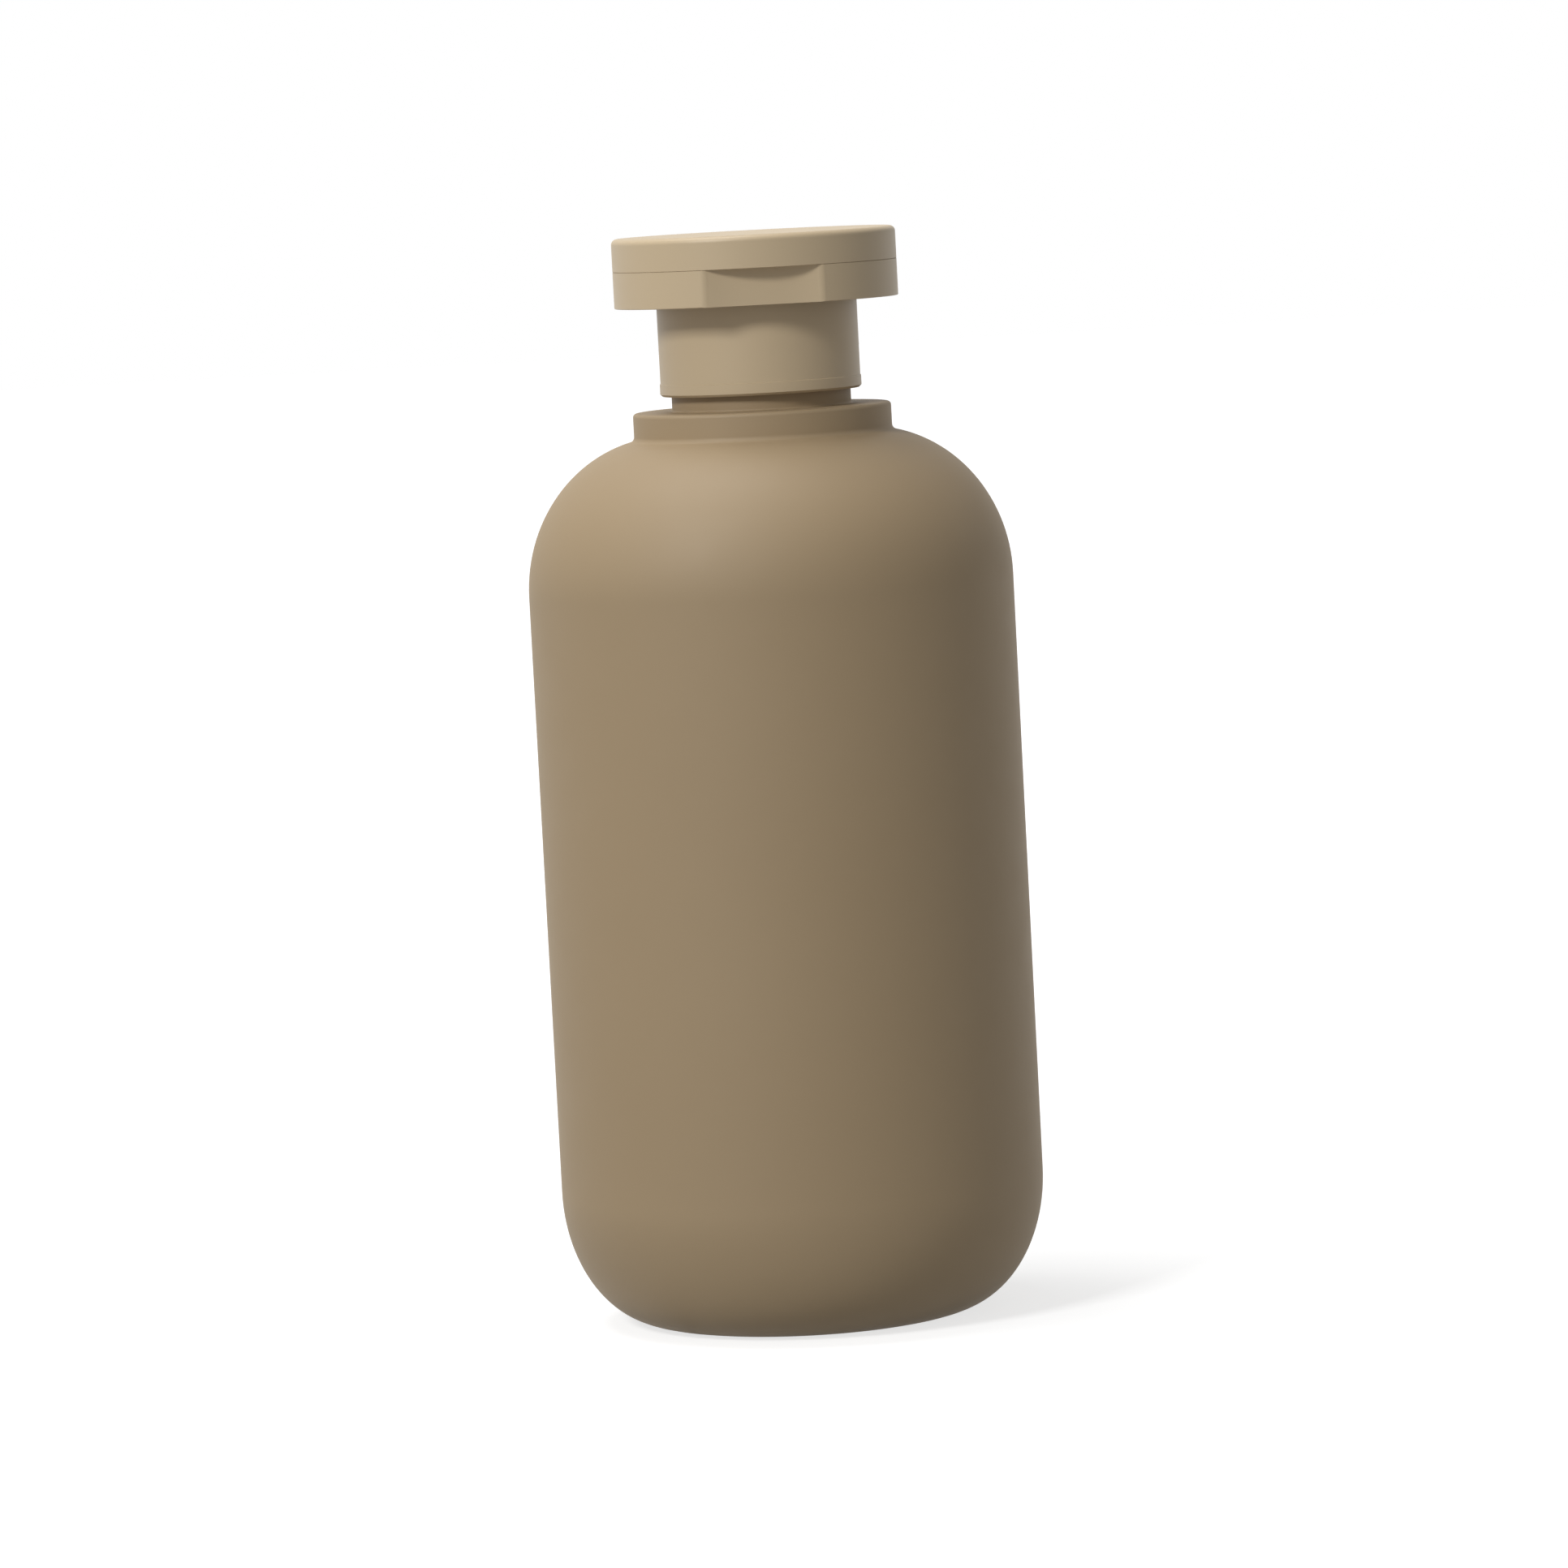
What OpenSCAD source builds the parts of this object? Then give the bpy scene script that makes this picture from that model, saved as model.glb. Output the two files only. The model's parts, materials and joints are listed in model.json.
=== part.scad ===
// Squeeze bottle with a screw-on flip-top cap, in millimetres, with +Z up.
// The origin is the middle of the ring that the bottle stands on.
// The thumb recess of the cap faces -Y and the hinge of its lid is at +Y.

/* [Body] */
// Outer radius of the round body
body_r = 32.5; // [29:0.5:42]
// Height of the straight side, between the base corner and the shoulder
side_h = 80.5; // [40:0.5:140]
// Wall of the blown body
body_wall = 1.1; // [0.7:0.1:1.8]
// How far the base corner reaches in from the side
base_corner_in = 12.7; // [6:0.1:14]
// How far the base corner reaches up from the foot
base_corner_up = 18.1; // [8:0.1:24]
// Width of the flat ring that the bottle stands on
foot_ring_w = 2.8; // [1.5:0.1:6]
// Rise of the hollow under the base, at its middle
base_rise = 2.2; // [0.5:0.1:5]

/* [Shoulder and collar] */
// How far the shoulder reaches in from the side
shoulder_in = 18.9; // [12:0.1:24]
// How far the shoulder rises above the side
shoulder_up = 20.5; // [10:0.1:30]
// Radius of the raised collar round the neck
collar_r = 17.3; // [15:0.1:20]
// Height of the collar's side
collar_h = 3.7; // [1.5:0.1:6]
// Rounding of the collar's top edge
collar_edge_r = 0.5; // [0.1:0.1:1]
// Fillet between the collar and the shoulder
collar_fillet_r = 0.8; // [0.2:0.1:1.2]

/* [Neck] */
// Radius of the neck between its threads
neck_r = 10.8; // [9:0.1:12]
// Wall of the neck between its threads
neck_wall = 1.8; // [1.2:0.1:2.5]
// Height of a thread above the neck, which the ring at the neck's foot shares
thread_h = 1.2; // [0.8:0.1:1.6]
// How far the ring at the neck's foot reaches into the cap
neck_ring_reach = 0.8; // [0.2:0.1:2]
// Bevel of the mouth and of the ring at the neck's foot
neck_bevel = 0.3; // [0.1:0.1:0.6]

/* [Screw skirt of the cap] */
// Gap between the collar and the skirt
skirt_gap = 2.1; // [0.5:0.1:4]
// Height of the skirt below the disc
skirt_h = 12; // [8:0.5:18]
// Wall of the skirt
skirt_wall = 1.25; // [1:0.05:2]
// Clearance between the ring at the neck's foot and the skirt
skirt_clear = 0.15; // [0.1:0.05:0.5]
// Height of the band round the skirt's foot
band_h = 1.7; // [1:0.1:4]
// How far the band stands out from the skirt
band_out = 0.1; // [0.05:0.05:0.5]

/* [Disc of the cap] */
// Radius of the disc, flange and lid alike
disc_r = 19; // [17.5:0.1:24]
// Height of the flange, the lower part of the disc
flange_h = 4.9; // [4:0.1:8]
// Height of the lid, the upper part of the disc, with the parting gap
lid_h = 4.4; // [4.2:0.1:8]
// Wall of the flange and of the lid
disc_wall = 1.2; // [0.8:0.1:1.6]
// Thickness of the deck on top of the flange
deck_t = 1.3; // [0.8:0.1:2]
// Gap between the flange and the closed lid
parting_gap = 0.05; // [0.02:0.01:0.4]
// Bevel of the two edges at the parting gap and of the flange's lower edge
disc_bevel = 0.08; // [0.04:0.01:0.4]
// Rounding of the lid's top edge
lid_edge_r = 0.8; // [0.2:0.1:1]

/* [Thumb recess] */
// Width of the flat middle of the recess's floor
recess_flat_w = 6; // [4:0.2:9]
// Depth of the floor behind the round of the disc
recess_depth = 2.1; // [1.8:0.05:2.6]
// Radius of the hollow sides of the floor
recess_side_r = 30; // [20:1:40]
// Rounding of the recess's two upright edges
recess_edge_r = 1.6; // [0.8:0.1:2.2]
// How far the ledge under the lid's rim reaches in behind the floor
ledge_in = 1.5; // [0.8:0.1:2]
// Thickness of the ledge under the lid's rim
ledge_t = 1.2; // [0.8:0.1:1.6]

/* [Orifice and plug] */
// Radius of the orifice
orifice_r = 2; // [1.5:0.1:3]
// Wall of the nozzle round the orifice
nozzle_wall = 1.3; // [0.8:0.1:2.5]
// Height of the nozzle above the deck
nozzle_h = 1.6; // [0.9:0.1:2.2]
// Clearance of the lid's plug in the orifice
plug_clear = 0.15; // [0.12:0.01:0.3]
// Wall of the hollow plug
plug_wall = 0.8; // [0.5:0.1:1.1]
// How far the plug reaches below the deck's top
plug_reach = 0.8; // [0.3:0.1:1.2]
// Height of the raised land on the deck that centres the lid
land_h = 0.7; // [0.3:0.1:1]
// Clearance of the lid round the land
land_clear = 0.4; // [0.3:0.05:0.8]

/* [Hinge] */
// Depth of the flat at the back of the disc, where the hinge sits
back_flat = 1.1; // [0.8:0.1:1.6]
// Width of the hinge
hinge_w = 11; // [6:0.5:12]
// Thickness of a hinge leaf
leaf_t = 0.7; // [0.4:0.1:0.8]
// Height of a hinge leaf
leaf_h = 1.8; // [1.2:0.1:2.5]

/* [Liner] */
// Thickness of the sealing liner under the deck
liner_t = 0.8; // [0.5:0.1:1.5]

/* [Hidden] */
$fn = 128;

taupe = "#9b8a6e";
pale_taupe = "#b4a587";
milky = "#e9e5da";

// Overlap that lets solids of one piece fuse, and cutters run past a face
lap = 0.2;
// A round laps this much over the edges it blends
edge_lap = 0.01;

// Heights, from the foot up
shoulder_z = base_corner_up + side_h;
collar_foot_z = shoulder_height(collar_r);
collar_top_z = collar_foot_z + collar_h;
skirt_z = collar_top_z + skirt_gap;
flange_z = skirt_z + skirt_h;
parting_z = flange_z + flange_h;
deck_z = parting_z - deck_t;
neck_top_z = deck_z - liner_t;
lid_z = parting_z + parting_gap;
lid_top_z = parting_z + lid_h;
lid_roof_z = lid_top_z - disc_wall;

// The hollow under the base is a shallow dome through the inner edge of the foot ring
foot_in_r = body_r - base_corner_in - foot_ring_w;
dome_r = (foot_in_r ^ 2 + base_rise ^ 2) / (2 * base_rise);

// Radii that follow the neck
bore_r = neck_r - neck_wall;
neck_ring_r = neck_r + thread_h;
skirt_in_r = neck_ring_r + skirt_clear;
skirt_r = skirt_in_r + skirt_wall;
plug_r = orifice_r - plug_clear;

// Places round the disc
back_y = disc_r - back_flat;
recess_y = recess_depth - disc_r;

// Height of the shoulder's surface at a radius outside the neck
function shoulder_height(r) =
    let (reach = max(0, r - (body_r - shoulder_in)) / shoulder_in)
    shoulder_z + shoulder_up * sqrt(1 - reach ^ 2);

// Middle of the round that blends one end of the recess into the disc's edge.
// It laps a little over the disc's edge and over the hollow side, so that it crosses both.
function edge_centre(side) =
    let (hollow = [recess_flat_w / 2, recess_side_r - recess_y])
    let (near = disc_r - recess_edge_r + edge_lap)
    let (span = recess_side_r + recess_edge_r - edge_lap)
    let (far = norm(hollow))
    let (lean = atan2(hollow.x, hollow.y))
    let (turn = lean + acos((near ^ 2 + far ^ 2 - span ^ 2) / (2 * near * far)))
    near * [side * sin(turn), -cos(turn)];

// The quarter of an ellipse that lies up and outwards of its centre
module quarter_ellipse(out, up) {
    intersection() {
        scale([out, up]) circle(r = 1);
        square([out, up]);
    }
}

// Half section of the body and shoulder, drawn inwards by an inset
module body_section(inset) {
    base_in = body_r - base_corner_in;
    top_in = body_r - shoulder_in;
    translate([0, inset])
        square([base_in, base_corner_up - inset]);
    translate([base_in, base_corner_up])
        mirror([0, 1])
            quarter_ellipse(base_corner_in - inset, base_corner_up - inset);
    translate([0, base_corner_up])
        square([body_r - inset, side_h]);
    translate([0, shoulder_z])
        square([top_in, shoulder_up - inset]);
    translate([top_in, shoulder_z])
        quarter_ellipse(shoulder_in - inset, shoulder_up - inset);
}

// Half section of the collar, with its top edge rounded
module collar_section() {
    low = collar_top_z - collar_edge_r;
    translate([0, shoulder_z])
        square([collar_r, low - shoulder_z]);
    translate([0, low])
        square([collar_r - collar_edge_r, collar_edge_r]);
    translate([collar_r - collar_edge_r, low])
        quarter_ellipse(collar_edge_r, collar_edge_r);
}

// Half section of the fillet at the collar's foot.
// Its circle touches the collar's side and the slope of the shoulder.
module collar_fillet_section() {
    far_r = collar_r + collar_fillet_r;
    slope = atan2(collar_foot_z - shoulder_height(far_r), collar_fillet_r);
    centre = [far_r, shoulder_height(far_r) + collar_fillet_r / cos(slope)];
    touch = centre - collar_fillet_r * [sin(slope), cos(slope)];
    inner_r = collar_r - collar_fillet_r;
    low_z = touch.y - collar_fillet_r;
    difference() {
        polygon([
            [inner_r, low_z],
            [touch.x, low_z],
            touch,
            centre,
            [inner_r, centre.y]
        ]);
        translate(centre) circle(r = collar_fillet_r);
    }
}

// Half section of the neck, with the plain ring at its foot
module neck_section() {
    ring_top = skirt_z + neck_ring_reach;
    polygon([
        [0, collar_foot_z],
        [neck_ring_r, collar_foot_z],
        [neck_ring_r, ring_top - neck_bevel],
        [neck_ring_r - neck_bevel, ring_top],
        [neck_r, ring_top],
        [neck_r, neck_top_z - neck_bevel],
        [neck_r - neck_bevel, neck_top_z],
        [0, neck_top_z]
    ]);
}

// Half section of the inside of the bottle
module hollow_section() {
    difference() {
        body_section(body_wall);
        translate([0, base_rise - dome_r]) circle(r = dome_r + body_wall);
    }
    translate([0, shoulder_z])
        square([collar_r - body_wall, collar_top_z - body_wall - shoulder_z]);
    translate([0, shoulder_z])
        square([bore_r, neck_top_z + lap - shoulder_z]);
}

// One blown shell: foot, side, shoulder, collar and neck
module bottle() {
    color(taupe)
        rotate_extrude()
            difference() {
                union() {
                    body_section(0);
                    collar_section();
                    collar_fillet_section();
                    neck_section();
                }
                hollow_section();
                translate([0, base_rise - dome_r])
                    intersection() {
                        circle(r = dome_r);
                        translate([0, dome_r - base_rise - lap])
                            square([foot_in_r + lap, base_rise + 2 * lap]);
                    }
            }
}

// Flat ring pressed between the mouth of the neck and the deck
module sealing_liner() {
    color(milky)
        translate([0, 0, neck_top_z])
            difference() {
                cylinder(r = neck_ring_r, h = liner_t);
                translate([0, 0, -lap])
                    cylinder(r = bore_r, h = liner_t + 2 * lap);
            }
}

// The disc in plan, with the flat at its back, drawn inwards by an inset
module disc_plan(inset) {
    r = disc_r - inset;
    intersection() {
        circle(r = r);
        translate([-r, -r])
            square([2 * r, r + back_y - inset]);
    }
}

// The thumb recess in plan, as what it takes away, grown by a width
module recess_plan(grow) {
    for (side = [-1, 1])
        translate([side * recess_flat_w / 2, recess_y - recess_side_r])
            circle(r = recess_side_r + grow);
    translate([-recess_flat_w / 2, recess_y - recess_side_r])
        square([recess_flat_w, recess_side_r + grow]);
}

// What the thumb recess and the round at one of its ends take off the disc's edge
module recess_end(side) {
    centre = edge_centre(side);
    hollow = [side * recess_flat_w / 2, recess_y - recess_side_r];
    to_disc = 1.5 * recess_edge_r * centre / norm(centre);
    to_floor = 1.5 * recess_edge_r * (hollow - centre) / norm(hollow - centre);
    polygon([centre, centre + to_disc, centre + to_disc + to_floor, centre + to_floor]);
}

// The thumb recess in plan with both ends rounded
module recess_cut() {
    difference() {
        union() {
            recess_plan(0);
            for (side = [-1, 1])
                recess_end(side);
        }
        for (side = [-1, 1])
            translate(edge_centre(side))
                circle(r = recess_edge_r);
    }
}

// A round blank of the disc's radius, bevelled by the same amount below and above
module bevelled_blank(low, high) {
    rotate_extrude()
        polygon([
            [0, low],
            [disc_r - disc_bevel, low],
            [disc_r, low + disc_bevel],
            [disc_r, high - disc_bevel],
            [disc_r - disc_bevel, high],
            [0, high]
        ]);
}

// One hinge leaf, standing on its foot at the back flat and sloping to the wall
module hinge_leaf() {
    rotate([90, 0, 90])
        translate([0, 0, -hinge_w / 2])
            linear_extrude(hinge_w)
                polygon([
                    [back_y - lap, 0],
                    [back_y + leaf_t, 0],
                    [back_y + leaf_t, leaf_h - leaf_t],
                    [back_y - lap, leaf_h + lap]
                ]);
}

// Screw skirt with the band round its foot, still solid inside
module skirt_blank() {
    band_r = skirt_r + band_out;
    rotate_extrude()
        polygon([
            [0, skirt_z],
            [band_r - neck_bevel, skirt_z],
            [band_r, skirt_z + neck_bevel],
            [band_r, skirt_z + band_h - band_out],
            [skirt_r, skirt_z + band_h],
            [skirt_r, deck_z + lap],
            [0, deck_z + lap]
        ]);
}

// The raised land that centres the lid, clear of the recess and of the hinge
module land() {
    reach = disc_wall + land_clear;
    translate([0, 0, parting_z - lap])
        linear_extrude(land_h + lap)
            difference() {
                disc_plan(reach);
                recess_plan(ledge_in + land_clear);
            }
}

// The inside of the skirt, with a lead-in at its mouth
module skirt_bore() {
    rotate_extrude()
        polygon([
            [0, skirt_z - lap],
            [skirt_in_r + neck_bevel + lap, skirt_z - lap],
            [skirt_in_r, skirt_z + neck_bevel],
            [skirt_in_r, deck_z],
            [0, deck_z]
        ]);
}

// The open ring under the deck, between the skirt and the flange's wall
module flange_hollow() {
    translate([0, 0, flange_z - lap])
        linear_extrude(deck_z - flange_z + lap)
            difference() {
                disc_plan(disc_wall);
                recess_plan(disc_wall);
                circle(r = skirt_r);
            }
}

// The flange, still solid inside: the bevelled disc less its recess and its back flat
module flange_blank() {
    difference() {
        bevelled_blank(flange_z, parting_z);
        translate([0, 0, flange_z - lap])
            linear_extrude(flange_h + 2 * lap) {
                recess_cut();
                translate([-disc_r, back_y])
                    square([2 * disc_r, back_flat + lap]);
            }
    }
}

// Moulded base of the cap: screw skirt, flange, deck, nozzle and hinge leaf
module cap_base() {
    color(pale_taupe)
        difference() {
            union() {
                flange_blank();
                skirt_blank();
                land();
                translate([0, 0, parting_z - lap])
                    cylinder(r = orifice_r + nozzle_wall, h = nozzle_h + lap);
                translate([0, 0, parting_z])
                    mirror([0, 0, 1])
                        hinge_leaf();
            }
            flange_hollow();
            skirt_bore();
            translate([0, 0, deck_z - lap])
                cylinder(r = orifice_r, h = deck_t + nozzle_h + 2 * lap);
        }
}

// Outside of the lid, with its top edge rounded
module lid_blank() {
    rotate_extrude() {
        polygon([
            [0, lid_z],
            [disc_r - disc_bevel, lid_z],
            [disc_r, lid_z + disc_bevel],
            [disc_r, lid_top_z - lid_edge_r],
            [disc_r - lid_edge_r, lid_top_z - lid_edge_r],
            [disc_r - lid_edge_r, lid_top_z],
            [0, lid_top_z]
        ]);
        translate([disc_r - lid_edge_r, lid_top_z - lid_edge_r])
            quarter_ellipse(lid_edge_r, lid_edge_r);
    }
}

// Hollow plug under the lid, which closes the orifice
module plug() {
    low = parting_z - plug_reach;
    translate([0, 0, low])
        difference() {
            cylinder(r = plug_r, h = lid_roof_z - low + lap);
            translate([0, 0, -lap])
                cylinder(r = plug_r - plug_wall, h = lid_roof_z - low + lap);
        }
}

// Ledge inside the lid's rim, above the thumb recess, for the thumb to push
module thumb_ledge() {
    translate([0, 0, lid_z])
        linear_extrude(ledge_t)
            intersection() {
                circle(r = disc_r - disc_wall / 2);
                recess_plan(ledge_in);
            }
}

// Moulded lid: rim, roof, plug, thumb ledge and hinge leaf
module lid() {
    color(pale_taupe) {
        difference() {
            intersection() {
                lid_blank();
                translate([0, 0, lid_z])
                    linear_extrude(lid_h)
                        disc_plan(0);
            }
            translate([0, 0, lid_z - lap])
                linear_extrude(lid_roof_z - lid_z + lap)
                    disc_plan(disc_wall);
        }
        plug();
        thumb_ledge();
        translate([0, 0, lid_z])
            hinge_leaf();
    }
}

bottle();
sealing_liner();
cap_base();
lid();
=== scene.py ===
# %% [markdown]
# # A squeeze bottle with a flip-top cap
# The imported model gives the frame: each piece at its real size and place, in metres, with +Z up.
# The bottle stands at the origin, its thumb recess faces -Y and the hinge of its lid is at +Y.
# This script gives the pieces their finish and fine detail, and adds a camera, a floor and light.

import json
import math

import bmesh
import bpy
from mathutils import Matrix, Vector


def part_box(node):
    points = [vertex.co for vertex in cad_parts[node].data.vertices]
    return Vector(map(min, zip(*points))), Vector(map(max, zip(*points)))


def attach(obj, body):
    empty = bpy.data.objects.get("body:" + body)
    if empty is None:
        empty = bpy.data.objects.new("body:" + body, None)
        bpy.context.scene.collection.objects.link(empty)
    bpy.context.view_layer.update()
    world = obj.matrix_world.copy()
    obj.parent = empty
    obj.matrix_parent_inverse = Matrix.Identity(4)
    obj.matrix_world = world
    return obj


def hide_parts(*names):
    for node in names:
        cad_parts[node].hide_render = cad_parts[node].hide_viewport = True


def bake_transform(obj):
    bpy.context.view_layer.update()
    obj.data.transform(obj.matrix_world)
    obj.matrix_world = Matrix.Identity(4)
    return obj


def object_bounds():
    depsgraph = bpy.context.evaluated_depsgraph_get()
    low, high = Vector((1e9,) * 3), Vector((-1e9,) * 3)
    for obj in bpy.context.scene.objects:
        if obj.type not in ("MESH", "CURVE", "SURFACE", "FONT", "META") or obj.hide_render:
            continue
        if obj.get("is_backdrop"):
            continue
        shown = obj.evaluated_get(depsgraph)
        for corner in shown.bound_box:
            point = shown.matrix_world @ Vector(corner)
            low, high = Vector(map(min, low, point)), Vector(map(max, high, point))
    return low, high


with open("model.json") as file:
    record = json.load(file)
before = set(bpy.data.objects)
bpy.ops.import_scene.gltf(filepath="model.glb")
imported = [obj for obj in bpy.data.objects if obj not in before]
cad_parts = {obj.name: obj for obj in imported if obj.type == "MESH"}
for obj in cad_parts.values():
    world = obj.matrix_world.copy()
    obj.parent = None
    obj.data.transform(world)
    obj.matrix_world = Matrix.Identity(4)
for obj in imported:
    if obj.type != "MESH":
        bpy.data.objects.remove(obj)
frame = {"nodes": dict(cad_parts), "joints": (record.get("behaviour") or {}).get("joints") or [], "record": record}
cad_low, cad_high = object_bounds()
print("CAD box, mm:", [round(v * 1000, 2) for v in (*cad_low, *cad_high)])

# %% [markdown]
# ## Sizes
# What the frame knows is read from it: the boxes of the pieces, the hinge axis and the thread's pitch,
# which is the lift of the cap in one turn. The curves of the blown body can't be read from a box,
# so their few driving sizes are written here, under the names that the part's own source gives them.

# %% Sizes in metres
MM = 0.001

bottle_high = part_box("bottle")[1]
cap_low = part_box("cap_base")[0]
lid_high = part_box("lid")[1]
body_r = bottle_high.x
neck_top_z = bottle_high.z
neck_ring_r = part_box("sealing_liner")[1].x
skirt_z = cap_low.z
couplings = frame["record"]["behaviour"]["couplings"]
thread_pitch = 2 * math.pi * couplings[0]["ratio"]
lid_joint = next(joint for joint in frame["joints"] if joint["name"] == "lid_hinge")
hinge_y, hinge_z = lid_joint["pos_m"][1:]

body_wall = 1.1 * MM
base_corner_in = 12.7 * MM
base_corner_up = 18.1 * MM
foot_ring_w = 2.8 * MM
foot_edge_r = 0.4 * MM
base_rise = 2.2 * MM
side_h = 80.5 * MM
shoulder_in = 18.9 * MM
shoulder_up = 20.5 * MM
collar_r = 17.3 * MM
collar_h = 3.7 * MM
collar_edge_r = 0.5 * MM
collar_fillet_r = 0.8 * MM
neck_r = 10.8 * MM
neck_wall = 1.8 * MM
neck_ring_reach = 0.8 * MM
neck_edge_r = 0.3 * MM
bore_foot_r = 0.8 * MM
inside_top_r = 1.2 * MM

base_in = body_r - base_corner_in
foot_in_r = base_in - foot_ring_w
dome_r = (foot_in_r ** 2 + base_rise ** 2) / (2 * base_rise)
shoulder_z = base_corner_up + side_h
top_in = body_r - shoulder_in
bore_r = neck_r - neck_wall
print("body radius", round(body_r / MM, 2), "mm, thread pitch", round(thread_pitch / MM, 3), "mm")

# %% [markdown]
# ## Two small helpers
# Materials and Geometry Nodes are both trees of nodes, so one helper serves them all. It adds a node,
# sets its options, and fills each input with a plain value or with the output of another node.
# Colours are written as sRGB hex values, as a colour picker shows them, and made linear here.

# %% Add a node, read a colour
def add_node(tree, kind, inputs=None, **options):
    node = tree.nodes.new(kind)
    for name, value in options.items():
        setattr(node, name, value)
    for key, value in (inputs or {}).items():
        if isinstance(value, bpy.types.NodeSocket):
            tree.links.new(value, node.inputs[key])
        else:
            node.inputs[key].default_value = value
    return node


def linear(hex_colour):
    channels = [int(hex_colour[i:i + 2], 16) / 255 for i in (1, 3, 5)]
    return [c / 12.92 if c < 0.04045 else ((c + 0.055) / 1.055) ** 2.4 for c in channels] + [1]


# %% [markdown]
# ## Moulded plastics
# The body is high-density polyethylene, blown in a blasted mould, so it is matt, with a grain of
# about a tenth of a millimetre. The cap is polypropylene, injected under pressure, which copies its
# mould more sharply and keeps a satin gleam. Both are dyed through, so their colour is even, with a
# faint drift of the pigment. One tree serves both, and real sizes set the scale of each pattern.

# %% Dyed plastic
MIX_A, MIX_B, MIX_RESULT = 6, 7, 2
drift_size = 25 * MM
gleam_size = 6 * MM
gleam_spread = 0.04


def dyed_plastic(name, dark, light, ior, roughness, grain_size, grain_depth):
    material = bpy.data.materials.new(name)
    material.use_nodes = True
    tree = material.node_tree
    tree.nodes.clear()
    place = add_node(tree, "ShaderNodeTexCoord").outputs["Object"]
    drift = add_node(tree, "ShaderNodeTexNoise", {
        "Vector": place, "Scale": 1 / drift_size, "Detail": 3, "Roughness": 0.6})
    colour = add_node(tree, "ShaderNodeMix", {
        0: drift.outputs["Fac"], MIX_A: linear(dark), MIX_B: linear(light)}, data_type="RGBA")
    gleam = add_node(tree, "ShaderNodeTexNoise", {
        "Vector": place, "Scale": 1 / gleam_size, "Detail": 4, "Roughness": 0.7})
    rough = add_node(tree, "ShaderNodeMapRange", {
        "Value": gleam.outputs["Fac"], "To Min": roughness - gleam_spread,
        "To Max": roughness + gleam_spread})
    grain = add_node(tree, "ShaderNodeTexNoise", {
        "Vector": place, "Scale": 1 / grain_size, "Detail": 2, "Roughness": 0.55})
    bump = add_node(tree, "ShaderNodeBump", {
        "Strength": 1, "Distance": grain_depth, "Height": grain.outputs["Fac"]})
    shader = add_node(tree, "ShaderNodeBsdfPrincipled", {
        "Base Color": colour.outputs[MIX_RESULT], "Roughness": rough.outputs["Result"],
        "IOR": ior, "Normal": bump.outputs["Normal"]})
    add_node(tree, "ShaderNodeOutputMaterial", {"Surface": shader.outputs["BSDF"]})
    return material


body_plastic = dyed_plastic(
    "HDPE blown matt", "#9b8667", "#9f8a6b", ior=1.54, roughness=0.62,
    grain_size=0.25 * MM, grain_depth=0.006 * MM)
cap_polypropylene = dyed_plastic(
    "polypropylene moulded satin", "#c1ad8d", "#c5b191", ior=1.49, roughness=0.46,
    grain_size=0.35 * MM, grain_depth=0.003 * MM)
print("made", body_plastic.name, "and", cap_polypropylene.name)

# %% [markdown]
# ## Foam of the sealing liner
# The liner is a ring cut from foamed polyethylene sheet, milky white, with closed cells of about
# a third of a millimetre. Cells meet in flat walls, which is what a Voronoi pattern draws,
# and a thin skin over them keeps the relief low.

# %% Foamed polyethylene
def foam_sheet(name, wall, cell, cell_size, cell_depth):
    material = bpy.data.materials.new(name)
    material.use_nodes = True
    tree = material.node_tree
    tree.nodes.clear()
    place = add_node(tree, "ShaderNodeTexCoord").outputs["Object"]
    cells = add_node(tree, "ShaderNodeTexVoronoi", {"Vector": place, "Scale": 1 / cell_size})
    colour = add_node(tree, "ShaderNodeMix", {
        0: cells.outputs["Distance"], MIX_A: linear(cell), MIX_B: linear(wall)}, data_type="RGBA")
    bump = add_node(tree, "ShaderNodeBump", {
        "Strength": 1, "Distance": cell_depth, "Height": cells.outputs["Distance"]})
    shader = add_node(tree, "ShaderNodeBsdfPrincipled", {
        "Base Color": colour.outputs[MIX_RESULT], "Roughness": 0.75, "IOR": 1.5,
        "Normal": bump.outputs["Normal"]})
    add_node(tree, "ShaderNodeOutputMaterial", {"Surface": shader.outputs["BSDF"]})
    return material


liner_foam = foam_sheet(
    "polyethylene foam", "#ece8de", "#dfdacd", cell_size=0.35 * MM, cell_depth=0.04 * MM)
print("made", liner_foam.name)

# %% [markdown]
# ## Half section of the blown shell
# A round bottle is a section turned round its axis. The section runs from the middle of the base,
# outwards over the foot, up the side, over the shoulder and collar to the mouth, and then down the
# inside, one wall thickness away. Arcs of ellipses give the soft corners, and small arcs round
# the sharp ones, so that each edge catches a thin line of light as a moulded edge does.

# %% Arcs and rounded corners
def arc(centre, radii, start, end, steps):
    """Points of an elliptical arc between two angles in degrees, from the radius towards +z."""
    angles = [math.radians(start + (end - start) * i / steps) for i in range(steps + 1)]
    return [Vector((centre[0] + radii[0] * math.cos(a), centre[1] + radii[1] * math.sin(a)))
            for a in angles]


def rounded(before, corner, after, radius, steps=5):
    """Points of the arc that rounds a corner, between the points before and after it."""
    back = (Vector(before) - Vector(corner)).normalized()
    on = (Vector(after) - Vector(corner)).normalized()
    half = back.angle(on) / 2
    middle = Vector(corner) + (back + on).normalized() * radius / math.sin(half)
    first = Vector(corner) + back * radius / math.tan(half) - middle
    turn = math.copysign(math.pi - 2 * half, back.cross(on) * -1)
    return [middle + Matrix.Rotation(turn * i / steps, 2) @ first for i in range(steps + 1)]


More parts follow.
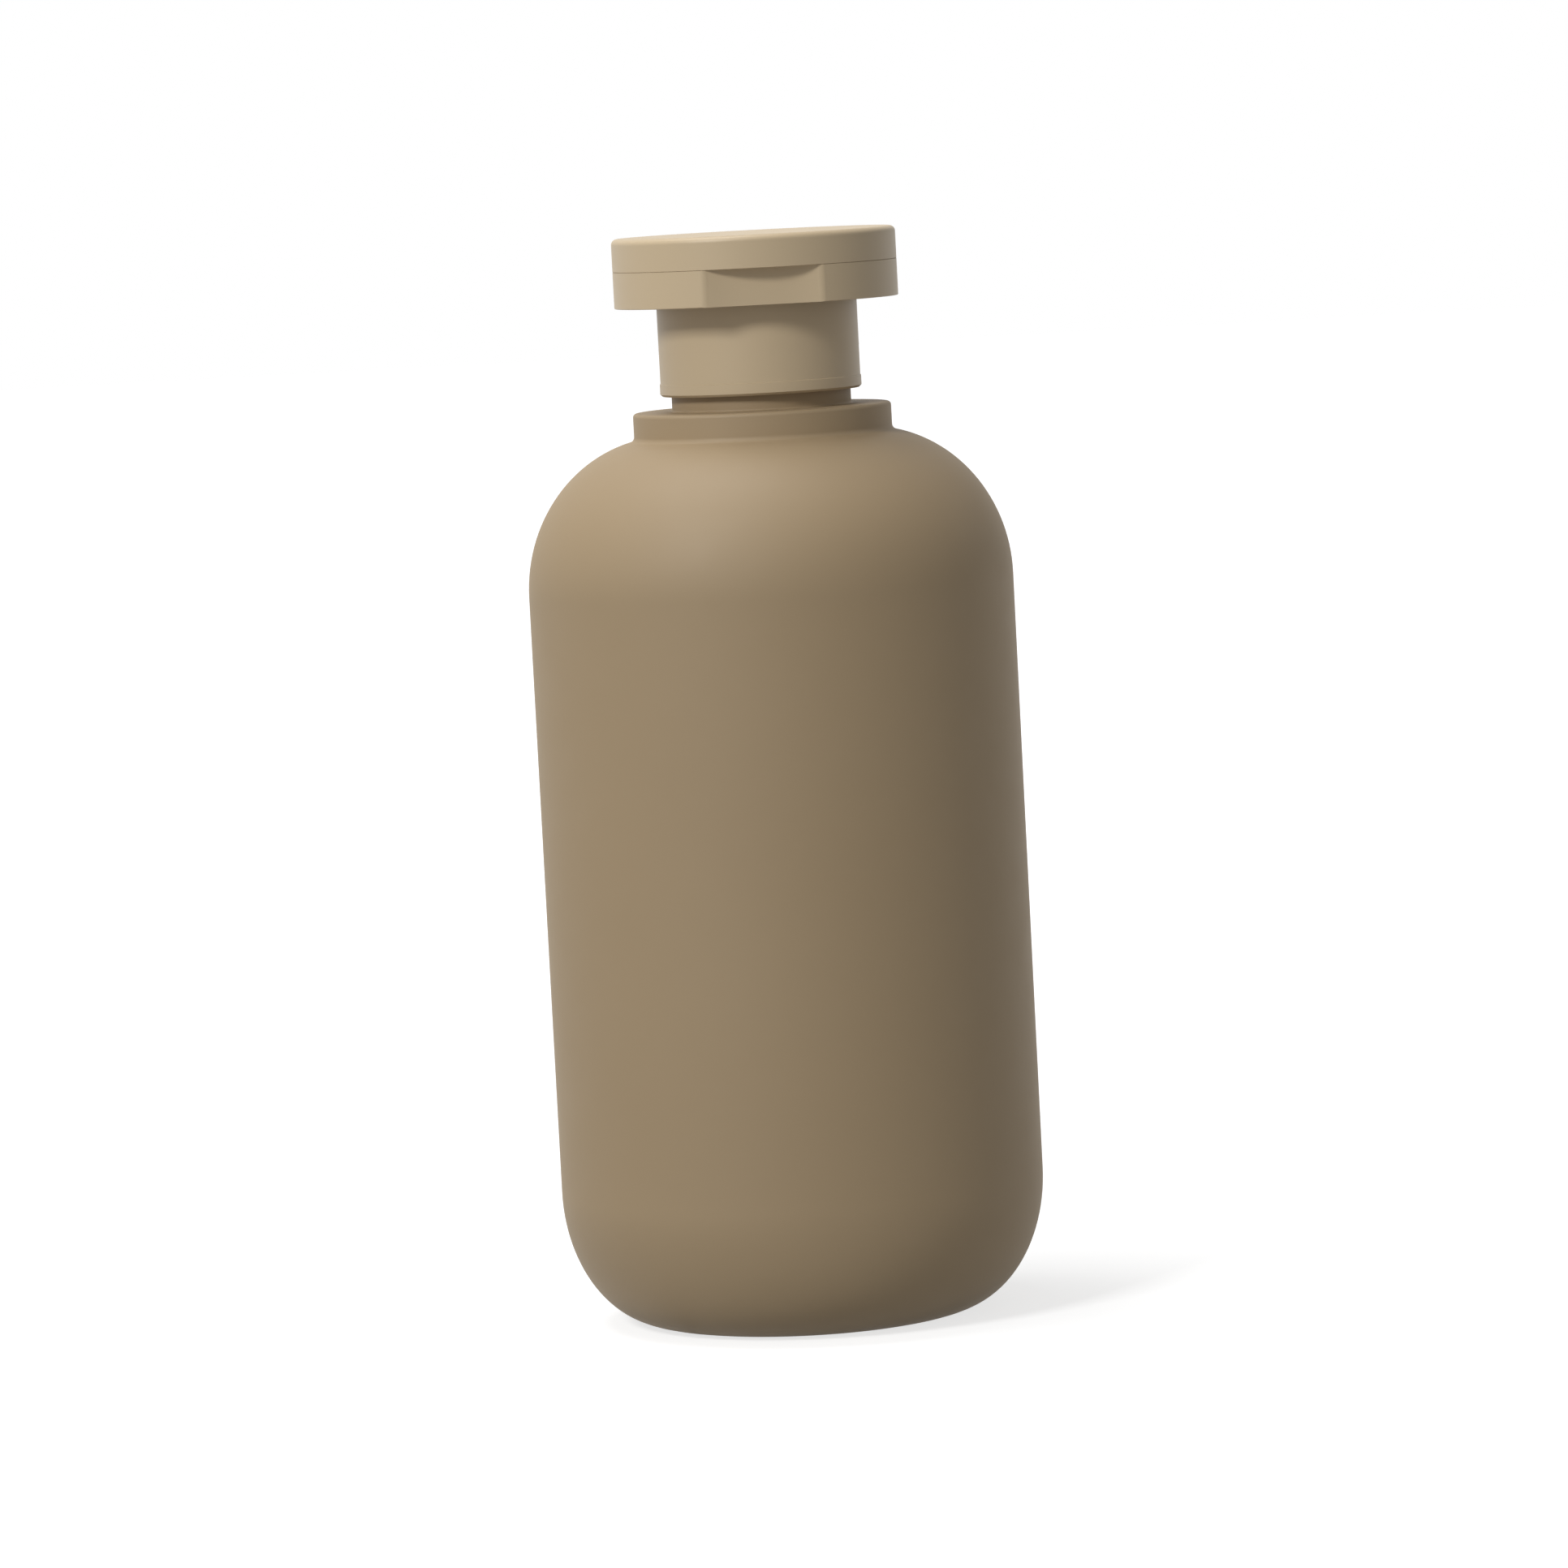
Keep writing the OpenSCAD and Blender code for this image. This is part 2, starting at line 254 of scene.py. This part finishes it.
# %% The section, outside and inside
def collar_foot_rise():
    """How far the shoulder has risen above the side where it meets the collar."""
    return shoulder_up * math.sqrt(1 - ((collar_r - top_in) / shoulder_in) ** 2)


def shell_section():
    collar_top_z = shoulder_z + collar_foot_rise() + collar_h
    ring_top_z = skirt_z + neck_ring_reach
    dome_edge = math.degrees(math.acos(foot_in_r / dome_r))
    fillet_angle = math.degrees(math.acos((collar_r + collar_fillet_r - top_in) / shoulder_in))
    foot_in = (foot_in_r, 0)
    collar_foot = (collar_r, shoulder_z + collar_foot_rise())
    collar_top = (collar_r, collar_top_z)
    ring_foot = (neck_ring_r, collar_top_z)
    ring_top = (neck_ring_r, ring_top_z)
    neck_foot = (neck_r, ring_top_z)
    mouth_out = (neck_r, neck_top_z)
    mouth_in = (bore_r, neck_top_z)
    inside_top_z = collar_top_z - body_wall
    bore_foot = (bore_r, inside_top_z)
    inside_top = (collar_r - body_wall, inside_top_z)

    dome = arc((0, base_rise - dome_r), (dome_r, dome_r), 90, dome_edge, 12)
    base = arc((base_in, base_corner_up), (base_corner_in, base_corner_up), -90, 0, 28)
    shoulder = arc((top_in, shoulder_z), (shoulder_in, shoulder_up), 0, fillet_angle, 28)
    outside = dome[:-1] + rounded(dome[-2], foot_in, base[0], foot_edge_r) + base + shoulder[:-1]
    outside += rounded(shoulder[-1], collar_foot, collar_top, collar_fillet_r)
    outside += rounded(collar_foot, collar_top, ring_foot, collar_edge_r)
    outside += rounded(collar_top, ring_foot, ring_top, neck_edge_r)
    outside += rounded(ring_foot, ring_top, neck_foot, neck_edge_r)
    outside += rounded(ring_top, neck_foot, mouth_out, neck_edge_r)
    outside += rounded(neck_foot, mouth_out, mouth_in, neck_edge_r)
    outside += rounded(mouth_out, mouth_in, bore_foot, neck_edge_r)

    inner_out, inner_up = shoulder_in - body_wall, shoulder_up - body_wall
    join_angle = math.degrees(math.acos((collar_r - body_wall - top_in) / inner_out))
    inner_shoulder = arc((top_in, shoulder_z), (inner_out, inner_up), join_angle, 0, 20)
    inner_base = arc((base_in, base_corner_up), (base_corner_in - body_wall, base_corner_up - body_wall),
                     0, -90, 20)
    inner_dome_r = dome_r + body_wall
    floor_reach = math.sqrt(inner_dome_r ** 2 - (body_wall - base_rise + dome_r) ** 2)
    inner_edge = math.degrees(math.acos(floor_reach / inner_dome_r))
    inner_dome = arc((0, base_rise - dome_r), (inner_dome_r, inner_dome_r), inner_edge, 90, 10)
    inside = rounded(mouth_in, bore_foot, inside_top, bore_foot_r)
    inside += rounded(bore_foot, inside_top, inner_shoulder[0], inside_top_r)
    inside += inner_shoulder + inner_base + inner_dome
    return outside + inside


section = shell_section()
section_top = max(p.y for p in section)
print("section of the shell:", len(section), "points, up to", round(section_top / MM, 2), "mm")

# %% [markdown]
# ## A lathe in Geometry Nodes
# Spin in edit mode could turn the section, but a node tree keeps it changeable: the section goes in
# as a line of edges, and Curve to Mesh sweeps it along a small circle round the axis.
# The circle's radius is taken off the section first. Both ends of the section lie on the axis,
# so their copies meet in one point and Merge by Distance closes the poles. Curve to Mesh lays the
# line's y downwards along the axis, so the heights go in as -y and the points in reverse order.

# %% The lathe tree
weld_distance = 0.002 * MM


def new_tree(name, **inputs):
    """An empty Geometry Nodes tree with named inputs, each given as a socket type and a value."""
    tree = bpy.data.node_groups.new(name, "GeometryNodeTree")
    tree.interface.new_socket("Geometry", in_out="OUTPUT", socket_type="NodeSocketGeometry")
    tree.interface.new_socket("Geometry", in_out="INPUT", socket_type="NodeSocketGeometry")
    for label, kind in inputs.items():
        tree.interface.new_socket(label.replace("_", " "), in_out="INPUT", socket_type=kind)
    return tree, add_node(tree, "NodeGroupInput").outputs


def lathe_tree():
    tree, given = new_tree("Lathe", Segments="NodeSocketInt", Rail_radius="NodeSocketFloat",
                           Material="NodeSocketMaterial")
    line = add_node(tree, "GeometryNodeMeshToCurve", {"Mesh": given["Geometry"]})
    inwards = add_node(tree, "ShaderNodeMath", {0: 0.0, 1: given["Rail radius"]}, operation="SUBTRACT")
    offset = add_node(tree, "ShaderNodeCombineXYZ", {"X": inwards.outputs[0]})
    moved = add_node(tree, "GeometryNodeSetPosition", {
        "Geometry": line.outputs["Curve"], "Offset": offset.outputs[0]})
    circle = add_node(tree, "GeometryNodeCurvePrimitiveCircle", {
        "Resolution": given["Segments"], "Radius": given["Rail radius"]})
    rail = add_node(tree, "GeometryNodeSetCurveNormal", {"Curve": circle.outputs["Curve"]}, mode="Z_UP")
    swept = add_node(tree, "GeometryNodeCurveToMesh", {
        "Curve": rail.outputs["Curve"], "Profile Curve": moved.outputs["Geometry"]})
    closed = add_node(tree, "GeometryNodeMergeByDistance", {
        "Geometry": swept.outputs["Mesh"], "Distance": weld_distance})
    smooth = add_node(tree, "GeometryNodeSetShadeSmooth", {"Geometry": closed.outputs["Geometry"]})
    real = add_node(tree, "GeometryNodeRealizeInstances", {"Geometry": smooth.outputs["Geometry"]})
    done = add_node(tree, "GeometryNodeSetMaterial", {
        "Geometry": real.outputs["Geometry"], "Material": given["Material"]})
    add_node(tree, "NodeGroupOutput", {"Geometry": done.outputs["Geometry"]})
    return tree


# %% Run a tree on a line of points
def run_tree(name, points, tree, **inputs):
    """Makes a plain mesh object from a line of points and a tree. Inputs are set by their identifier."""
    line = bpy.data.meshes.new(name + "_line")
    line.from_pydata(points, [(i, i + 1) for i in range(len(points) - 1)], [])
    host = bpy.data.objects.new(name + "_host", line)
    bpy.context.scene.collection.objects.link(host)
    modifier = host.modifiers.new("tree", "NODES")
    modifier.node_group = tree
    for label, value in inputs.items():
        socket = tree.interface.items_tree[label.replace("_", " ")]
        modifier[socket.identifier] = value
    evaluated = host.evaluated_get(bpy.context.evaluated_depsgraph_get())
    mesh = bpy.data.meshes.new_from_object(evaluated)
    bpy.data.objects.remove(host)
    piece = bpy.data.objects.new(name, mesh)
    bpy.context.scene.collection.objects.link(piece)
    return piece


def volume(piece):
    """Signed volume of a closed mesh, which is positive when its faces point outwards."""
    shape = bmesh.new()
    shape.from_mesh(piece.data)
    result = shape.calc_volume(signed=True)
    shape.free()
    return result


lathe = lathe_tree()
shell = run_tree("bottle_shell_turned", [(p.x, -p.y, 0) for p in reversed(section)], lathe,
                 Segments=256, Rail_radius=1 * MM, Material=body_plastic)
print(shell.name, len(shell.data.polygons), "faces,", round(volume(shell) * 1e6, 2), "cm3 of plastic")

# %% [markdown]
# ## A raised bead along a path
# The screw thread on the neck, the thread inside the skirt and the weld line under the base are the
# same thing to a modeller: a bead with a wide root and a narrow crest that follows a path and
# runs out at its ends. One tree sweeps a trapezoid along any line of points. The Scale input of
# Curve to Mesh shrinks it at both ends towards the path, which lies on the surface it grows from.

# %% The bead tree
def bead_tree():
    tree, given = new_tree("Bead", Root_width="NodeSocketFloat", Crest_width="NodeSocketFloat",
                           Height="NodeSocketFloat", Sunk="NodeSocketFloat", Turn="NodeSocketFloat",
                           Run_out="NodeSocketFloat", Material="NodeSocketMaterial")
    line = add_node(tree, "GeometryNodeMeshToCurve", {"Mesh": given["Geometry"]})
    rail = add_node(tree, "GeometryNodeSetCurveNormal", {"Curve": line.outputs["Curve"]}, mode="Z_UP")
    trapezoid = add_node(tree, "GeometryNodeCurvePrimitiveQuadrilateral", {
        "Height": given["Height"], "Bottom Width": given["Root width"],
        "Top Width": given["Crest width"], "Offset": 0.0}, mode="TRAPEZOID")
    half = add_node(tree, "ShaderNodeMath", {0: given["Height"], 1: 0.5}, operation="MULTIPLY")
    lift = add_node(tree, "ShaderNodeMath", {0: half.outputs[0], 1: given["Sunk"]}, operation="SUBTRACT")
    raised = add_node(tree, "ShaderNodeCombineXYZ", {"Y": lift.outputs[0]})
    standing = add_node(tree, "GeometryNodeTransform", {
        "Geometry": trapezoid.outputs["Curve"], "Translation": raised.outputs[0]})
    angle = add_node(tree, "ShaderNodeCombineXYZ", {"Z": given["Turn"]})
    turned = add_node(tree, "GeometryNodeTransform", {
        "Geometry": standing.outputs["Geometry"], "Rotation": angle.outputs[0]})
    along = add_node(tree, "GeometryNodeSplineParameter")
    from_end = add_node(tree, "ShaderNodeMath", {0: 1.0, 1: along.outputs["Factor"]}, operation="SUBTRACT")
    nearest = add_node(tree, "ShaderNodeMath", {
        0: along.outputs["Factor"], 1: from_end.outputs[0]}, operation="MINIMUM")
    taper = add_node(tree, "ShaderNodeMapRange", {
        "Value": nearest.outputs[0], "From Max": given["Run out"], "To Min": 0.02},
        interpolation_type="SMOOTHSTEP")
    swept = add_node(tree, "GeometryNodeCurveToMesh", {
        "Curve": rail.outputs["Curve"], "Profile Curve": turned.outputs["Geometry"],
        "Scale": taper.outputs["Result"], "Fill Caps": True})
    real = add_node(tree, "GeometryNodeRealizeInstances", {"Geometry": swept.outputs["Mesh"]})
    done = add_node(tree, "GeometryNodeSetMaterial", {
        "Geometry": real.outputs["Geometry"], "Material": given["Material"]})
    add_node(tree, "NodeGroupOutput", {"Geometry": done.outputs["Geometry"]})
    return tree


bead = bead_tree()

# %% [markdown]
# ## Screw threads
# A cap of this kind has a single-start, right-hand thread of about a turn and a half.
# A right-hand helix rises as it turns anticlockwise, seen from above. The cap's own thread
# lies half a pitch below the neck's, so the two pass between each other, and because the cap lifts one
# pitch in one turn they stay clear all the way. The points of both are worked out by one loop.

# %% Threads of the neck and of the cap
thread_turns = 1.5
thread_height = 1.1 * MM
thread_root_w = 1.6 * MM
thread_crest_w = 0.7 * MM
thread_top_gap = 1.7 * MM
skirt_clear = 0.15 * MM


def helix(radius, foot_z, steps_a_turn=64):
    count = int(thread_turns * steps_a_turn)
    angles = [2 * math.pi * i / steps_a_turn for i in range(count + 1)]
    return [(radius * math.cos(a), radius * math.sin(a), foot_z + thread_pitch * a / (2 * math.pi))
            for a in angles]


neck_thread_z = neck_top_z - thread_top_gap - thread_turns * thread_pitch
thread_form = {"Root_width": thread_root_w, "Crest_width": thread_crest_w, "Height": thread_height,
               "Sunk": 0.1 * MM, "Run_out": 0.09}
neck_thread = run_tree("neck_thread", helix(neck_r, neck_thread_z), bead, Turn=math.radians(-90),
                       Material=body_plastic, **thread_form)
cap_helix = helix(neck_ring_r + skirt_clear, neck_thread_z - thread_pitch / 2)
cap_thread = run_tree("cap_thread", cap_helix, bead, Turn=math.radians(90),
                      Material=cap_polypropylene, **thread_form)
for piece in (neck_thread, cap_thread):
    low = min(v.co.z for v in piece.data.vertices)
    high = max(v.co.z for v in piece.data.vertices)
    reach = [math.hypot(v.co.x, v.co.y) / MM for v in piece.data.vertices]
    print(piece.name, "from", round(low / MM, 2), "to", round(high / MM, 2), "mm high, radius",
          round(min(reach), 2), "to", round(max(reach), 2), "mm,", round(volume(piece) * 1e9, 1), "mm3")

# %% [markdown]
# ## Weld line under the base
# A blown bottle starts as a soft tube that the mould pinches shut, and the pinch leaves a straight
# raised line across the hollow of the base. It is the same bead on a path that follows the dome.

# %% Pinch-off line
def dome_path(reach, steps=32):
    sides = [reach * (2 * i / steps - 1) for i in range(steps + 1)]
    return [(x, 0, base_rise - dome_r + math.sqrt(dome_r ** 2 - x ** 2)) for x in sides]


pinch_line = run_tree("pinch_off_line", dome_path(foot_in_r - 2.5 * MM), bead, Turn=0.0,
                      Root_width=1.2 * MM, Crest_width=0.4 * MM, Height=0.5 * MM, Sunk=0.1 * MM,
                      Run_out=0.08, Material=body_plastic)
print(pinch_line.name, "lowest at", round(min(v.co.z for v in pinch_line.data.vertices) / MM, 2), "mm")

# %% [markdown]
# ## One shell, and its edges
# The thread and the weld line are part of the blown shell, so they join its mesh. Smooth shading alone
# would bend the light over the flats beside each small rounding. A Weighted Normal modifier
# lets the large faces set the direction, and edges over 40 degrees stay sharp.

# %% Join and shade
def join(main, *others):
    shape = bmesh.new()
    shape.from_mesh(main.data)
    for other in others:
        shape.from_mesh(other.data)
        bpy.data.objects.remove(other)
    shape.to_mesh(main.data)
    shape.free()
    return main


def shade(piece, angle=40):
    piece.data.shade_smooth()
    piece.data.set_sharp_from_angle(angle=math.radians(angle))
    normals = piece.modifiers.new("normals", "WEIGHTED_NORMAL")
    normals.keep_sharp = True
    return piece


bottle = shade(join(shell, neck_thread, pinch_line))
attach(bottle, "bottle")
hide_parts("bottle")
shade(cap_thread)
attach(cap_thread, "cap")
print(bottle.name, "replaces the CAD node bottle, with", len(bottle.data.polygons), "faces")

# %% [markdown]
# ## Living hinge
# The base and the lid of the cap are one moulding. A film a few tenths of a millimetre thick
# joins their two leaves and bends when the lid opens. It belongs to neither body, and it is built here
# in its closed shape, straight across the gap.
# Rows of faces are closer near the bend than on the leaves.

# %% Hinge film
hinge_w = 11 * MM
leaf_reach = 1.05 * MM
film_t = 2 * (hinge_y - lid_high.y)


def hinge_film():
    half_gap = 0.3 * MM
    thin_reach = 0.7 * half_gap
    bend_steps = 12
    rows = [hinge_z - leaf_reach, hinge_z - leaf_reach / 2]
    rows += [hinge_z + half_gap * (2 * i / bend_steps - 1) for i in range(bend_steps + 1)]
    rows += [hinge_z + leaf_reach / 2, hinge_z + leaf_reach]
    shape = bmesh.new()
    rings = []
    for z in rows:
        half_t = (0.3 if abs(z - hinge_z) < thin_reach else 0.5) * film_t
        inner, outer = hinge_y - half_t, hinge_y + half_t
        corners = [(-hinge_w / 2, inner), (hinge_w / 2, inner), (hinge_w / 2, outer), (-hinge_w / 2, outer)]
        rings.append([shape.verts.new((x, y, z)) for x, y in corners])
    for low, high in zip(rings, rings[1:]):
        for i in range(4):
            j = (i + 1) % 4
            shape.faces.new((low[i], low[j], high[j], high[i]))
    shape.faces.new(reversed(rings[0]))
    shape.faces.new(rings[-1])
    mesh = bpy.data.meshes.new("hinge_film")
    shape.to_mesh(mesh)
    shape.free()
    mesh.materials.append(cap_polypropylene)
    film = bpy.data.objects.new("hinge_film", mesh)
    bpy.context.scene.collection.objects.link(film)
    return film


film = hinge_film()
print(film.name, "thickness", round(film_t / MM, 2), "mm, volume", round(volume(film) * 1e9, 2), "mm3")
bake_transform(film)

# %% [markdown]
# ## Finish of the moulded cap and of the liner
# The cap's base, its lid and the liner keep the faces of the model, which have their true rounds and
# bevels. They take the finish that belongs to them.

# %% Carried-over pieces
finishes = {"cap_base": cap_polypropylene, "lid": cap_polypropylene, "sealing_liner": liner_foam}
for name, material in finishes.items():
    node = frame["nodes"][name]
    node.data.materials.clear()
    node.data.materials.append(material)
    print(name, "takes", material.name)

# %% [markdown]
# ## A tight parting line
# The solids keep a gap under the closed lid, with a bevel on each side, wide enough for their motion to be
# checked. On a good moulding the two edges nearly touch, and from a metre away the line all but
# vanishes. A modifier on each half takes the points within reach of its edge, keeps a third of the
# height of the bevel, and lowers the lid's edge nearly onto the flange. It leaves the CAD meshes
# themselves as they are, and moves no point by more than a tenth of a millimetre.

# %% Draw the two edges together
def seam_tree():
    tree, given = new_tree("Seam", Plane="NodeSocketFloat", Reach="NodeSocketFloat",
                           Keep="NodeSocketFloat", Drop="NodeSocketFloat",
                           Material="NodeSocketMaterial")
    place = add_node(tree, "GeometryNodeInputPosition")
    height = add_node(tree, "ShaderNodeSeparateXYZ", {0: place.outputs[0]}).outputs["Z"]
    above = add_node(tree, "ShaderNodeMath", {0: height, 1: given["Plane"]}, operation="SUBTRACT")
    away = add_node(tree, "ShaderNodeMath", {0: above.outputs[0]}, operation="ABSOLUTE")
    near = add_node(tree, "FunctionNodeCompare", {0: away.outputs[0], 1: given["Reach"]},
                    operation="LESS_THAN")
    kept = add_node(tree, "ShaderNodeMath", {0: above.outputs[0], 1: given["Keep"]}, operation="MULTIPLY")
    step = add_node(tree, "ShaderNodeMath", {0: kept.outputs[0], 1: above.outputs[0]}, operation="SUBTRACT")
    whole = add_node(tree, "ShaderNodeMath", {0: step.outputs[0], 1: given["Drop"]}, operation="SUBTRACT")
    offset = add_node(tree, "ShaderNodeCombineXYZ", {"Z": whole.outputs[0]})
    moved = add_node(tree, "GeometryNodeSetPosition", {
        "Geometry": given["Geometry"], "Selection": near.outputs[0], "Offset": offset.outputs[0]})
    real = add_node(tree, "GeometryNodeRealizeInstances", {"Geometry": moved.outputs["Geometry"]})
    done = add_node(tree, "GeometryNodeSetMaterial", {
        "Geometry": real.outputs["Geometry"], "Material": given["Material"]})
    add_node(tree, "NodeGroupOutput", {"Geometry": done.outputs["Geometry"]})
    return tree


seam = seam_tree()
parting_gap = 0.05 * MM
seam_gap = 0.02 * MM
seam_reach = 0.1 * MM
kept_share = 0.35
halves = {"cap_base": (-parting_gap / 2, 0), "lid": (parting_gap / 2, parting_gap - seam_gap)}
for name, (side, drop) in halves.items():
    modifier = frame["nodes"][name].modifiers.new("seam", "NODES")
    modifier.node_group = seam
    values = {"Plane": hinge_z + side, "Reach": seam_reach, "Keep": kept_share, "Drop": drop,
              "Material": cap_polypropylene}
    for label, value in values.items():
        modifier[seam.interface.items_tree[label].identifier] = value
print("parting line drawn together from", round(parting_gap / MM, 2), "to", round(seam_gap / MM, 2), "mm")

# %% [markdown]
# ## Floor and background
# The bottle stands on a plain white sweep. For the camera and for mirror images the floor is lifted to
# white with a little glow of its own, weakest at the bottle's foot, where it keeps the soft shadow.
# For all other light it is a dark grey, so that it doesn't light the bottle from below.

# %% White floor
floor_half = 4
near_glow = 0.72
glow_from, glow_to = 0.1, 0.8
paper_grey = (0.5, 0.5, 0.5, 1)
bounce_grey = (0.35, 0.35, 0.35, 1)
floor_mesh = bpy.data.meshes.new("floor")
floor_mesh.from_pydata([(-floor_half, -floor_half, 0), (floor_half, -floor_half, 0),
                        (floor_half, floor_half, 0), (-floor_half, floor_half, 0)], [], [(0, 1, 2, 3)])
floor = bpy.data.objects.new("floor", floor_mesh)
bpy.context.scene.collection.objects.link(floor)


def seen_directly(tree):
    """One for light that reaches the camera from here, also by way of gloss or glass."""
    path = add_node(tree, "ShaderNodeLightPath").outputs
    either = add_node(tree, "ShaderNodeMath", {
        0: path["Is Camera Ray"], 1: path["Is Glossy Ray"]}, operation="MAXIMUM")
    return add_node(tree, "ShaderNodeMath", {
        0: either.outputs[0], 1: path["Is Transmission Ray"]}, operation="MAXIMUM").outputs[0]


def floor_material():
    material = bpy.data.materials.new("white studio paper")
    material.use_nodes = True
    tree = material.node_tree
    tree.nodes.clear()
    paper = add_node(tree, "ShaderNodeBsdfDiffuse", {"Color": paper_grey})
    dim = add_node(tree, "ShaderNodeBsdfDiffuse", {"Color": bounce_grey})
    centre = add_node(tree, "ShaderNodeTexCoord").outputs["Object"]
    away = add_node(tree, "ShaderNodeVectorMath", {0: centre}, operation="LENGTH")
    lift = add_node(tree, "ShaderNodeMapRange", {
        "Value": away.outputs["Value"], "From Min": glow_from, "From Max": glow_to,
        "To Min": near_glow, "To Max": 1.0}, interpolation_type="SMOOTHSTEP")
    glow = add_node(tree, "ShaderNodeEmission", {"Color": (1, 1, 1, 1), "Strength": lift.outputs["Result"]})
    bright = add_node(tree, "ShaderNodeAddShader", {0: paper.outputs[0], 1: glow.outputs[0]})
    mixed = add_node(tree, "ShaderNodeMixShader", {
        0: seen_directly(tree), 1: dim.outputs[0], 2: bright.outputs[0]})
    add_node(tree, "ShaderNodeOutputMaterial", {"Surface": mixed.outputs[0]})
    return material


floor_mesh.materials.append(floor_material())
floor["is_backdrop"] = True
print("floor", 2 * floor_half, "m across")

# %% White world
ambient = 0.24
world = bpy.data.worlds.new("studio")
bpy.context.scene.world = world
world.use_nodes = True
world.node_tree.nodes.clear()
air = add_node(world.node_tree, "ShaderNodeMapRange", {
    "Value": seen_directly(world.node_tree), "To Min": ambient, "To Max": 1.0})
backdrop = add_node(world.node_tree, "ShaderNodeBackground", {
    "Color": (1, 1, 1, 1), "Strength": air.outputs["Result"]})
add_node(world.node_tree, "ShaderNodeOutputWorld", {"Surface": backdrop.outputs[0]})
print("ambient light", ambient)

# %% [markdown]
# ## Soft studio light
# A key lamp stands to the front left, high enough to throw the shadow of the lid into the thumb recess
# and the shadow of the disc onto the skirt. A wider lamp hangs almost overhead, a little to the left,
# and brings out the shoulder. Each lamp is placed by its direction from the middle of the bottle,
# and its power is worked out from how brightly it should light a white card.

# %% Lamps
middle = (cad_low + cad_high) / 2
lamp_distance = 1.3


def add_lamp(name, azimuth, elevation, size, level):
    """A square lamp that lights a white card facing it to a level, where 1 shows as full white."""
    data = bpy.data.lights.new(name, "AREA")
    data.size = size
    data.energy = level * math.pi ** 2 * lamp_distance ** 2
    lamp = bpy.data.objects.new(name, data)
    a, e = math.radians(azimuth), math.radians(elevation)
    away = Vector((math.sin(a) * math.cos(e), -math.cos(a) * math.cos(e), math.sin(e)))
    lamp.location = middle + away * lamp_distance
    lamp.rotation_mode = "QUATERNION"
    lamp.rotation_quaternion = (-away).to_track_quat("-Z", "Y")
    bpy.context.scene.collection.objects.link(lamp)
    print(name, "lamp of", round(data.energy, 2), "W at", [round(v, 2) for v in lamp.location], "m")


add_lamp("key", azimuth=-41, elevation=34, size=0.28, level=0.5)
add_lamp("top", azimuth=-100, elevation=75, size=0.6, level=0.55)

# %% [markdown]
# ## Camera
# The photograph was taken from about a metre away with a long lens, a little above the bottle's middle
# and with the camera tilted to one side, so the bottle leans. The distances, angles and the
# focal length were fitted to the outline of the bottle.

# %% Camera at the photograph's place
camera_distance = 1.004
camera_height = 0.1627
camera_azimuth = -3.3
camera_pitch = -5.18
camera_roll = -3.005
camera_lens = 172.15
camera_shift = 0.0015

camera_data = bpy.data.cameras.new("camera")
camera_data.sensor_width = 36
camera_data.lens = camera_lens
camera_data.shift_x = camera_shift
camera_data.clip_start = 0.05
camera = bpy.data.objects.new("camera", camera_data)
bpy.context.scene.collection.objects.link(camera)
around = Matrix.Rotation(math.radians(camera_azimuth), 4, "Z")
place = Matrix.Translation((0, -camera_distance, camera_height))
tilt = Matrix.Rotation(math.radians(90 + camera_pitch), 4, "X")
lean = Matrix.Rotation(math.radians(camera_roll), 4, "Z")
camera.matrix_world = around @ place @ tilt @ lean
bpy.context.scene.camera = camera
bpy.context.scene.view_settings.view_transform = "Standard"
print("camera at", [round(v, 3) for v in camera.matrix_world.translation])

# %% [markdown]
# ## Size of the dressed bottle
# The box of the dressed bottle is printed beside the CAD box, so that the two can be compared.

# %% Size of the dressed bottle
low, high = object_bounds()
print("visual box, mm:", [round(v / MM, 2) for v in (*low, *high)])
